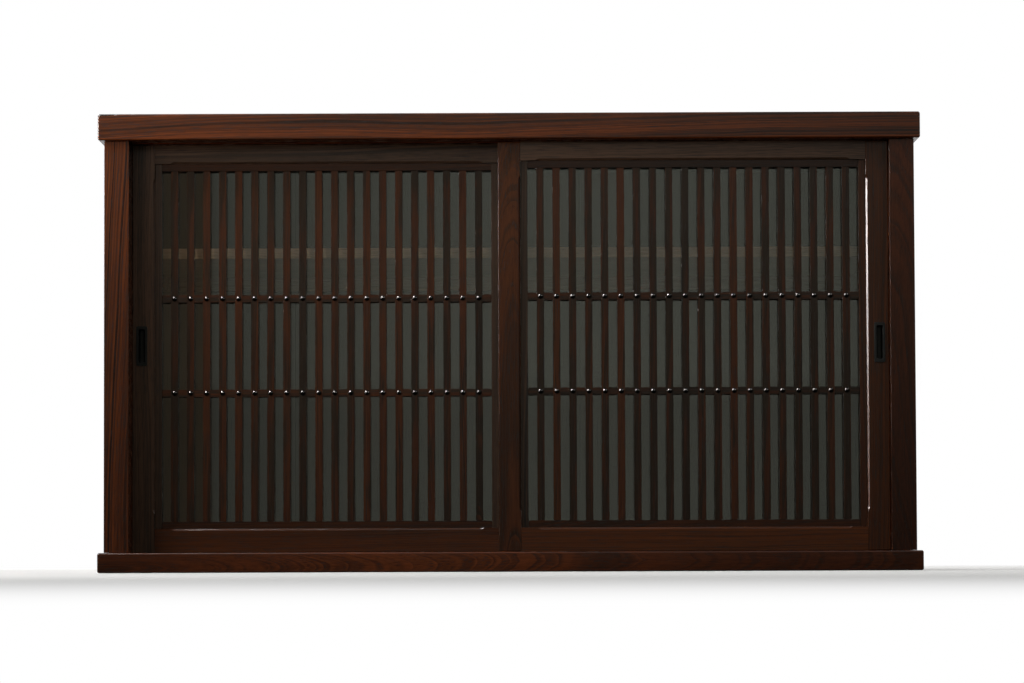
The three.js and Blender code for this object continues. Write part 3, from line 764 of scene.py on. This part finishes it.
@dataclass
class Lattice:
    """The slats and crossbars of one door, halved into each other, with a tack at each crossing."""

    side: Side
    crossbar_tone: float
    seed: int
    slat_tone: float = 0.87
    crossbar_stain: Span = (0.4, 0.2)  # the crossbars' least draw of stain, and how far it varies
    border_heart: float = 0.1  # how far behind the border bars their logs' hearts are at most
    slat_count: int = 20
    bar: float = 12.5 * MILLIMETRE
    crossbar_spacing: float = 162.5 * MILLIMETRE
    stub_length: float = 4.0 * MILLIMETRE
    stub_width: float = 8.5 * MILLIMETRE
    stub_thickness: float = 4.0 * MILLIMETRE
    halving_gap: float = 0.15 * MILLIMETRE
    arris: float = 0.15 * MILLIMETRE
    tack_radius: float = 4.5 * MILLIMETRE
    tack_height: float = 3.0 * MILLIMETRE
    tack_sink: float = 0.1 * MILLIMETRE
    tack_rings: int = 6
    tack_facets: int = 20
    low: Vector = field(init=False)
    high: Vector = field(init=False)

    def __post_init__(self) -> None:
        """Takes the grid's place from the frame, without its stub tenons."""
        self.low, self.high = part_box(self.grid)
        stub = Vector((self.stub_length, 0.0, self.stub_length))
        self.low = self.low + stub
        self.high = self.high - stub

    @property
    def grid(self) -> str:
        """The CAD node that the slats and crossbars stand for."""
        return f"{self.side.door}_lattice_grid"

    @property
    def halving(self) -> float:
        """The depth at which the slats lie over the crossbars."""
        return (self.low.y + self.high.y) / 2.0

    def slat_places(self) -> list[float]:
        """Middles of the slats along X."""
        clear = self.high.x - self.low.x + 2.0 * JOINT_GAP
        pitch = (clear + self.bar) / (self.slat_count + 1)
        first = self.low.x - JOINT_GAP - self.bar / 2.0
        return [first + pitch * (i + 1) for i in range(self.slat_count)]

    def crossbar_places(self) -> Span:
        """Middles of the two crossbars along Z."""
        middle = (self.low.z + self.high.z) / 2.0
        return (middle - self.crossbar_spacing / 2.0, middle + self.crossbar_spacing / 2.0)

    def _bar(
        self,
        draft: MeshDraft,
        ends: Span,
        notches: Sequence[float],
        width: Span,
        over: bool,
        place: Place,
    ) -> None:
        """Adds one bar with its halvings and stub tenons.

        Args:
            draft: The draft that it goes into.
            ends: Where its shoulders are along its length.
            notches: Middles of the halvings along its length.
            width: Its two sides.
            over: True if it passes in front, so that the halvings are cut in its back.
            place: Turns length, width and depth into a point.
        """
        front, back = self.low.y, self.high.y
        kept, cut = (front, back) if over else (back, front)
        reach = self.bar / 2.0 + self.halving_gap
        floor = self.halving + (-self.halving_gap if over else self.halving_gap) / 2.0
        outline = [(ends[0], kept), (ends[0], cut)]
        for notch in notches:
            near_side, far_side = notch - reach, notch + reach
            outline += [(near_side, cut), (near_side, floor), (far_side, floor), (far_side, cut)]
        outline += [(ends[1], cut), (ends[1], kept)]
        near = draft.ring([place(along, width[0], depth) for along, depth in outline])
        far = draft.ring([place(along, width[1], depth) for along, depth in outline])
        draft.faces.append(tuple(near))
        draft.faces.append(tuple(reversed(far)))
        tail = len(outline) - 2
        for i in range(len(outline)):
            if i not in (0, tail):
                after = (i + 1) % len(outline)
                draft.faces.append((near[after], near[i], far[i], far[after]))
        middle = (front + back) / 2.0
        half_depth = self.stub_thickness / 2.0 * (1.0 if over else -1.0)
        half_width = self.stub_width / 2.0 * (1.0 if width[1] > width[0] else -1.0)
        centre = (width[0] + width[1]) / 2.0
        for start, tip, rim in (
            (ends[0], ends[0] - self.stub_length, (near[1], near[0], far[0], far[1])),
            (ends[1], ends[1] + self.stub_length, (near[tail + 1], near[tail], far[tail], far[tail + 1])),
        ):
            flip = 1.0 if tip < start else -1.0
            first, last = middle + flip * half_depth, middle - flip * half_depth
            corners = [(centre - half_width, first), (centre - half_width, last)]
            corners += [(centre + half_width, last), (centre + half_width, first)]
            root = draft.ring([place(start, across, depth) for across, depth in corners])
            nose = draft.ring([place(tip, across, depth) for across, depth in corners])
            draft.bridge(rim, root)
            draft.bridge(root, nose)
            draft.faces.append(tuple(nose))

    def _dome(self, draft: MeshDraft, x: float, z: float) -> None:
        """Adds one tack's domed head, flat on the slat's face."""
        sphere = (self.tack_radius**2 + self.tack_height**2) / (2.0 * self.tack_height)
        steepest = math.asin(self.tack_radius / sphere)
        face = self.low.y
        profile = [(self.tack_radius, face + self.tack_sink)]
        for i in range(self.tack_rings):
            slope = steepest * (1.0 - i / self.tack_rings)
            rise = sphere * (math.cos(slope) - math.cos(steepest))
            profile.append((sphere * math.sin(slope), face - rise))
        rings = [draft.circle((x, y, z), radius, self.tack_facets) for radius, y in profile]
        draft.cup(rings)
        tip = draft.ring([(x, face - self.tack_height, z)])[0]
        last = rings[-1]
        for i in range(self.tack_facets):
            draft.faces.append((last[i], last[(i + 1) % self.tack_facets], tip))

    def _grid_piece(self, draft: MeshDraft, name: str, sawing: Sawing, tone: float) -> None:
        """Makes the slats or the crossbars, which stand for the CAD grid."""
        name = f"{self.side.door}_{name}"
        wood = STAINED_SLAT.material(f"stained_{name}", sawing, tone, per_bar=True)
        made = draft.piece(name, wood, self.side.door, "stained_lattice")
        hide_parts(self.grid)
        round_arrises(made, self.arris)

    def build(self, border_tones: Sequence[float], shade_painted: Sequence[str]) -> None:
        """Makes the slats, crossbars and tacks, and dresses the border bars.

        Args:
            border_tones: How light the outer, meeting, top and bottom border bars are.
            shade_painted: The border bars that take the greyer frame stain, which paints in their shade and
                the grey sheen on them.
        """
        dice = random.Random(self.seed)
        body = self.side.door
        slats = MeshDraft()
        for x in self.slat_places():
            width = (x - self.bar / 2.0, x + self.bar / 2.0)
            ends = (self.low.z, self.high.z)
            self._bar(slats, ends, self.crossbar_places(), width, True, lambda s, w, d: (w, d, s))
            slats.draw((dice.random(), dice.random(), dice.random()))
        upright = Sawing(Grain.ALONG_Z, heart=(0.06, 0.02), lean=(1.2, 0.8), along=0.4)
        self._grid_piece(slats, "slats", upright, self.slat_tone)
        crossbars = MeshDraft()
        least, spread = self.crossbar_stain
        for z in self.crossbar_places():
            width = (z + self.bar / 2.0, z - self.bar / 2.0)
            ends = (self.low.x, self.high.x)
            self._bar(crossbars, ends, self.slat_places(), width, False, lambda s, w, d: (s, d, w))
            crossbars.draw((dice.random(), least + spread * dice.random(), dice.random()))
        level = Sawing(Grain.ALONG_X, heart=(0.07, 0.30), lean=(1.0, 0.6), along=0.9)
        self._grid_piece(crossbars, "crossbars", level, self.crossbar_tone)
        metal = TACK_METAL.material(f"{body}_tack_metal")
        for row, z in zip(("lower", "upper"), self.crossbar_places(), strict=True):
            tacks = MeshDraft()
            for x in self.slat_places():
                self._dome(tacks, x, z)
            tacks.piece(f"{body}_tacks_{row}", metal, body, "black_metal").data.shade_smooth()
        for name, tone in zip(("outer", "meeting", "top", "bottom"), border_tones, strict=True):
            grain = Grain.ALONG_X if name in ("top", "bottom") else Grain.ALONG_Z
            node = f"{body}_lattice_{name}_bar"
            heart = (self.border_heart * dice.random(), dice.random())
            sawing = Sawing(grain, heart, lean=(0.8, 0.5), along=dice.random())
            # Border bars that lie in shade get the greyer stain: painted shade and sheen.
            wood = SHADE_PAINTED_FRAME if name in shade_painted else STAINED_FRAME
            dress(node, wood.material(f"stained_{node}", sawing, tone), self.arris)


@dataclass
class FingerPull:
    """The recessed pull of one door: a rim that laps the stile and a cup let into it."""

    side: Side
    rim_width: float = 19.0 * MILLIMETRE
    rim_height: float = 68.0 * MILLIMETRE
    rim_stand: float = 1.5 * MILLIMETRE
    cup_width: float = 11.0 * MILLIMETRE
    cup_height: float = 58.0 * MILLIMETRE
    cup_depth: float = 9.0 * MILLIMETRE
    wall: float = 1.5 * MILLIMETRE
    softening: float = 0.12 * MILLIMETRE
    corner: float = 2.5 * MILLIMETRE
    least_corner: float = 0.4 * MILLIMETRE
    corner_steps: int = 4

    def _loop(self, draft: MeshDraft, width: float, height: float, corner: float, y: float) -> list[int]:
        """Adds an upright rounded rectangle at a depth, as seen from the front, and returns its points."""
        low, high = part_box(self.node)
        middle_x = (low.x + high.x) / 2.0
        middle_z = (low.z + high.z) / 2.0
        points = []
        for quarter, (across, up) in enumerate(((1, 1), (-1, 1), (-1, -1), (1, -1))):
            for step in range(self.corner_steps + 1):
                angle = math.radians(90.0 * (quarter + step / self.corner_steps))
                x = across * (width / 2.0 - corner) + corner * math.cos(angle)
                z = up * (height / 2.0 - corner) + corner * math.sin(angle)
                points.append((middle_x + x, y, middle_z + z))
        return draft.ring(points)

    @property
    def node(self) -> str:
        """The CAD node that the pull stands for."""
        return f"{self.side.door}_finger_pull"

    def build(self) -> None:
        """Makes the pull."""
        draft = MeshDraft()
        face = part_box(self.node)[0].y + self.rim_stand
        cup = (self.cup_width + 2.0 * self.wall, self.cup_height + 2.0 * self.wall)
        rim = (self.rim_width, self.rim_height)
        well = (self.cup_width, self.cup_height)
        soft = self.softening
        profile = [
            (cup, -0.6 * self.wall, self.cup_depth + self.wall),
            (cup, 0.0, self.cup_depth + 0.7 * self.wall),
            (cup, 0.0, -JOINT_GAP),
            (rim, 0.0, -JOINT_GAP),
            (rim, 0.0, -self.rim_stand + 2.0 * soft),
            (rim, -0.6 * soft, -self.rim_stand + 0.6 * soft),
            (rim, -2.0 * soft, -self.rim_stand),
            (well, 2.0 * soft, -self.rim_stand),
            (well, 0.6 * soft, -self.rim_stand + 0.6 * soft),
            (well, 0.0, -self.rim_stand + 2.0 * soft),
            (well, -0.2 * self.wall, 0.6 * self.cup_depth),
            (well, -0.9 * self.wall, 0.88 * self.cup_depth),
            (well, -2.0 * self.wall, self.cup_depth),
        ]
        rings = []
        for (width, height), grow, depth in profile:
            corner = max(self.corner + grow, self.least_corner)
            rings.append(self._loop(draft, width + 2.0 * grow, height + 2.0 * grow, corner, face + depth))
        draft.stack([list(reversed(ring)) for ring in rings])
        metal = PULL_FINISH.material(f"{self.side.door}_pull_finish")
        made = draft.piece(f"{self.side.door}_pull_cup", metal, self.side.door, "black_metal")
        made.data.shade_smooth()
        made.modifiers.new("normals", "WEIGHTED_NORMAL")
        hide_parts(self.node)


@dataclass
class SlidingDoor:
    """One door: its frame, lattice, pane, beads and finger pull."""

    side: Side
    outer: Sawing
    meeting: Sawing
    top: Sawing
    bottom: Sawing
    tones: tuple[float, float, float, float]
    border_tones: tuple[float, float, float, float]
    # Frame members and border bars whose colour paints in their shade and a grey sheen.
    shade_painted: tuple[str, ...]
    crossbar_tone: float
    bead_tone: float = 0.95
    lattice_seed: int = 11
    stile_arris: float = 0.8 * MILLIMETRE
    rail_arris: float = 0.0  # crisp, as only its stopped chamfer shows
    bead_arris: float = 0.6 * MILLIMETRE

    def build(self, glass: bpy.types.Material) -> None:
        """Dresses the frame and the glass, and makes the lattice and the pull.

        Args:
            glass: What the pane is made of.
        """
        door = self.side.door
        members = (("outer_stile", self.outer), ("meeting_stile", self.meeting))
        members += (("top_rail", self.top), ("bottom_rail", self.bottom))
        for (name, sawing), tone in zip(members, self.tones, strict=True):
            node = f"{door}_{name}"
            # Members that lie in shade get the greyer stain: painted shade and sheen.
            wood = SHADE_PAINTED_FRAME if name in self.shade_painted else STAINED_FRAME
            arris = self.stile_arris if name.endswith("stile") else self.rail_arris
            dress(node, wood.material(f"stained_{node}", sawing, tone), arris, steps=3)
        for name in ("bottom", "top", "outer", "meeting"):
            node = f"{door}_glass_bead_{name}"
            wood = STAINED_FRAME.material(f"stained_{node}", getattr(self, name), self.bead_tone)
            dress(node, wood, self.bead_arris)
        dress(f"{door}_glass_pane", glass)
        lattice = Lattice(self.side, self.crossbar_tone, self.lattice_seed + self.side.value)
        lattice.build(self.border_tones, self.shade_painted)
        FingerPull(self.side).build()


@dataclass
class Softbox:
    """A flat white lamp.

    Attributes:
        name: Its name.
        place: Where it hangs.
        aim: What it points at.
        size: Its width and height.
        power: Its power in watts.
        spread: How widely its light fans out.
    """

    name: str
    place: Point
    aim: Point
    size: Span
    power: float
    spread: float = 180.0

    def build(self) -> None:
        """Hangs the lamp."""
        data = bpy.data.lights.new(self.name, "AREA")
        data.shape = "RECTANGLE"
        data.size, data.size_y = self.size
        data.energy = self.power
        data.spread = math.radians(self.spread)
        lamp = add_object(self.name, data)
        lamp.location = self.place
        way = Vector(self.aim) - Vector(self.place)
        lamp.rotation_euler = way.to_track_quat("-Z", "Y").to_euler()
        lamp.visible_camera = False
        lamp.visible_glossy = False


@dataclass
class Studio:
    """A pale floor, a white surround and soft lamps."""

    floor_colour: Colour = (0.86, 0.855, 0.84)
    floor_bounce: Colour = (0.20, 0.195, 0.19)
    floor_size: float = 60.0
    floor_fade: Span = (1.5, 3.6)
    floor_drop: float = 0.2 * MILLIMETRE  # keeps it clear of the chest's underside
    ambient: float = 0.03
    room_radius: float = 7.6
    room_height: float = 4.2
    room_arc: Span = (-90.0, 90.0)
    room_steps: int = 40
    room_tint: Colour = (1.0, 1.03, 0.87)
    room_low: float = 0.45  # how bright it is near the floor
    room_middle: Span = (0.7, 0.86)  # heights between which it comes up to room_high
    room_high: float = 0.61
    room_crown: Span = (1.76, 2.1)  # heights between which it comes up to room_top
    room_top: float = 1.6  # above the part that the glass shows
    room_left: Span = (-2.5, 0.2)  # along X: from dim to full
    room_right: Span = (2.9, 0.7)
    room_sides: float = 0.5  # how bright its dim sides are beside its middle
    room_edge: float = -1.335  # along X: its tint changes there
    room_blur: float = 0.03
    room_shade: Colour = (0.63, 0.50, 0.34)
    room_sky: Colour = (1.0, 0.96, 0.86)  # the tint of its top
    apron_width: float = 1.3
    apron_front: float = 0.215
    apron_light: float = 0.03
    apron_rise: Span = (2.0 * MILLIMETRE, 60.0 * MILLIMETRE)
    window_place: Point = (-4.0, -0.72, 1.05)
    window_size: Span = (1.2, 1.7)
    window_rise: Span = (0.4, 1.35)  # heights between which the window's light comes up to full
    window_light: float = 150.0
    window_tint: Colour = (1.0, 0.97, 0.96)
    spark_aim: Point = (0.0, -0.2, 0.4)
    spark_tint: Colour = (1.0, 0.98, 0.96)

    def _world(self) -> None:
        """White to the eye, to mirrors and through glass, and a soft ambient for everything else."""
        graph = Graph("surround", world=True)
        level = graph.add("MapRange", {"Value": graph.seen(), "To Min": self.ambient, "To Max": 1.0})
        sky = graph.add("Background", {"Color": (1.0, 1.0, 1.0), "Strength": level.outputs["Result"]})
        bpy.context.scene.world = graph.close(sky.outputs[0])

    def _floor(self) -> None:
        """A plain pale floor that runs out into the white surround."""
        half = self.floor_size / 2.0
        corners = [(-half, -half, 0.0), (half, -half, 0.0), (half, half, 0.0), (-half, half, 0.0)]
        mesh = card_mesh("floor", corners)
        graph = Graph("pale_floor")
        seen = graph.seen()
        colour = graph.blend(seen, self.floor_bounce, self.floor_colour)
        near = graph.add("BsdfDiffuse", {"Color": colour})
        far = graph.add("Emission", {"Color": (1.0, 1.0, 1.0), "Strength": 1.0})
        away = graph.fade(graph.vector("LENGTH", graph.place()), *self.floor_fade)
        share = graph.math("MULTIPLY", away, seen)
        mixed = graph.add("MixShader", {0: share, 1: near.outputs[0], 2: far.outputs[0]})
        mesh.materials.append(graph.close(mixed.outputs[0]))
        floor = add_object("floor", mesh)
        floor.location.z = -self.floor_drop

    def _mirror_card(self, name: str, mesh: bpy.types.Mesh, material: bpy.types.Material) -> None:
        """Hangs a card that is seen only in reflections."""
        mesh.materials.append(material)
        card = add_object(name, mesh)
        card.visible_camera = False
        card.visible_diffuse = False
        card.visible_volume_scatter = False
        card.visible_shadow = False

    def _room(self) -> None:
        """The dimmer side of the room, which the glass shows: a tall curved card and the floor before it."""
        mesh = bpy.data.meshes.new("room_card")
        points = []
        faces = []
        first, last = self.room_arc
        for i in range(self.room_steps + 1):
            turn = math.radians(first + (last - first) * i / self.room_steps)
            across, away = math.sin(turn), -math.cos(turn)
            points.append((self.apron_width * across, -self.apron_front, MILLIMETRE))
            points.append((self.room_radius * across, self.room_radius * away, MILLIMETRE))
            points.append((self.room_radius * across, self.room_radius * away, self.room_height))
            if i:
                faces.append((3 * i - 3, 3 * i, 3 * i + 1, 3 * i - 2))
                faces.append((3 * i - 2, 3 * i + 1, 3 * i + 2, 3 * i - 1))
        mesh.from_pydata(points, [], faces)
        graph = Graph("dim_room")
        level, _, up = graph.axes()
        high = graph.math("MULTIPLY", graph.fade(up, *self.room_middle), self.room_high - self.room_low)
        above = graph.fade(up, *self.room_crown)
        top = graph.math("MULTIPLY", above, self.room_top - self.room_high)
        light = graph.math("ADD", graph.math("ADD", high, self.room_low), top)
        left = graph.fade(level, *self.room_left)
        right = graph.fade(level, *self.room_right)
        middle = graph.math("MULTIPLY", left, right)
        shown = graph.math("MULTIPLY_ADD", middle, 1.0 - self.room_sides, self.room_sides)
        clear = graph.fade(level, self.room_edge - self.room_blur, self.room_edge + self.room_blur)
        colour = graph.blend(clear, self.room_shade, self.room_tint)
        colour = graph.blend(above, colour, self.room_sky)
        strength = graph.math("MULTIPLY", light, shown)
        standing = graph.fade(up, *self.apron_rise)
        strength = graph.add("Mix", {0: standing, 2: self.apron_light, 3: strength}).outputs[0]
        glow = graph.add("Emission", {"Color": colour, "Strength": strength})
        self._mirror_card("room_card", mesh, graph.close(glow.outputs[0]))

    def _window(self) -> None:
        """A bright upright window straight to the left, for the light lines along the arrises."""
        x, y, z = self.window_place
        half_y = self.window_size[0] / 2.0
        half_z = self.window_size[1] / 2.0
        corners = [(x, y - half_y, z - half_z), (x, y + half_y, z - half_z)]
        corners += [(x, y + half_y, z + half_z), (x, y - half_y, z + half_z)]
        graph = Graph("window_light")
        height = graph.axes()[2]
        strength = graph.math("MULTIPLY", graph.fade(height, *self.window_rise), self.window_light)
        glow = graph.add("Emission", {"Color": self.window_tint, "Strength": strength})
        mesh = card_mesh("window_card", corners)
        self._mirror_card("window_card", mesh, graph.close(glow.outputs[0]))

    def _spark(self, name: str, place: Point, size: float, light: float) -> None:
        """A small bright square, facing the chest, for the light dots on the tacks."""
        way = Vector(self.spark_aim) - Vector(place)
        across = way.cross(Vector((0.0, 0.0, 1.0))).normalized() * (size / 2.0)
        up = across.cross(way).normalized() * (size / 2.0)
        middle = Vector(place)
        corners = [middle - across - up, middle + across - up, middle + across + up, middle - across + up]
        graph = Graph(f"{name}_light")
        glow = graph.add("Emission", {"Color": self.spark_tint, "Strength": light})
        mesh = card_mesh(name, [tuple(corner) for corner in corners])
        self._mirror_card(name, mesh, graph.close(glow.outputs[0]))

    def build(self) -> None:
        """Sets up the studio."""
        self._world()
        self._floor()
        self._room()
        self._window()
        self._spark("left_spark", (-2.1, -1.3, 3.1), size=1.0, light=560.0)
        self._spark("right_spark", (2.3, -1.9, 2.2), size=0.6, light=110.0)
        for lamp in (
            Softbox("near_window", (-1.4, -1.2, 1.0), (-0.5, -0.2, 1.1), (1.1, 1.0), 3.6, spread=60.0),
            Softbox("side_window", (-2.4, -1.2, 2.1), (-0.5, -0.2, 1.1), (1.1, 1.0), 43.0, spread=150.0),
            Softbox("overhead", (0.3, 0.1, 2.6), (0.3, 0.1, 0.0), (3.0, 3.0), 34.0),
            Softbox("front_fill", (1.2, -3.2, 2.2), (0.5, -0.2, 0.5), (1.4, 1.4), 9.0),
            Softbox("right_fill", (3.8, 0.4, 1.5), (0.3, 0.0, 0.4), (1.6, 1.6), 57.0),
            Softbox("back_fill", (-1.0, 4.2, 1.8), (0.0, 0.2, 0.4), (2.6, 2.0), 130.0),
        ):
            lamp.build()


@dataclass
class PhotoCamera:
    """The camera at the photograph's place: far off, low and a little shifted."""

    lens: float = 94.48
    sensor: float = 36.0
    place: Point = (0.0026, -4.76, 0.02)
    tilt: float = 2.011
    roll: float = 0.211
    rise: float = 0.1211

    def build(self) -> None:
        """Makes the camera and gives it to the scene."""
        data = bpy.data.cameras.new("camera")
        data.lens = self.lens
        data.sensor_width = self.sensor
        data.shift_y = self.rise
        camera = add_object("camera", data)
        camera.location = self.place
        camera.rotation_euler = (math.radians(90.0 + self.tilt), math.radians(self.roll), 0.0)
        bpy.context.scene.camera = camera


def doors() -> tuple[SlidingDoor, SlidingDoor]:
    """The two doors, with the sawing of each frame member."""
    left = SlidingDoor(
        Side.LEFT,
        outer=Sawing(Grain.ALONG_Z, heart=(0.05, -0.50), lean=(0.6, 0.8), along=20.0),
        meeting=Sawing(Grain.ALONG_Z, heart=(0.02, -0.13), lean=(0.9, 0.7), along=21.5),
        top=Sawing(Grain.ALONG_X, heart=(-0.02, 0.60), lean=(0.5, 0.4), along=22.0),
        bottom=Sawing(Grain.ALONG_X, heart=(-0.05, 0.18), lean=(0.8, 0.6), along=23.5),
        tones=(1.15, 0.82, 0.92, 0.95),
        border_tones=(0.95, 0.75, 0.46, 0.56),
        shade_painted=("outer_stile", "top_rail", "outer", "meeting"),
        crossbar_tone=0.96,
    )
    right = SlidingDoor(
        Side.RIGHT,
        outer=Sawing(Grain.ALONG_Z, heart=(-0.03, 0.52), lean=(0.5, 0.6), along=25.0),
        meeting=Sawing(Grain.ALONG_Z, heart=(-0.245, 0.004), lean=(2.6, 0.8), along=26.3),
        top=Sawing(Grain.ALONG_X, heart=(-0.04, 0.61), lean=(0.6, 0.3), along=27.0),
        bottom=Sawing(Grain.ALONG_X, heart=(-0.02, 0.19), lean=(0.7, 0.5), along=28.2),
        tones=(0.75, 0.80, 1.25, 1.2),
        border_tones=(0.60, 0.6, 0.24, 0.52),
        shade_painted=("top_rail", "meeting"),
        crossbar_tone=0.74,
    )
    return left, right


def main() -> None:
    """Builds the camera, the studio and the chest."""
    logging.basicConfig(level=logging.INFO, format="%(name)s %(message)s")
    bpy.context.scene.view_settings.view_transform = "Standard"
    PhotoCamera().build()
    Studio().build()
    Carcass().build()
    BackPanel().build()
    Shelving().build()
    glass = ClearGlass().material("clear_glass_pane")
    for door in doors():
        door.build(glass)


if __name__ == "__main__":
    main()
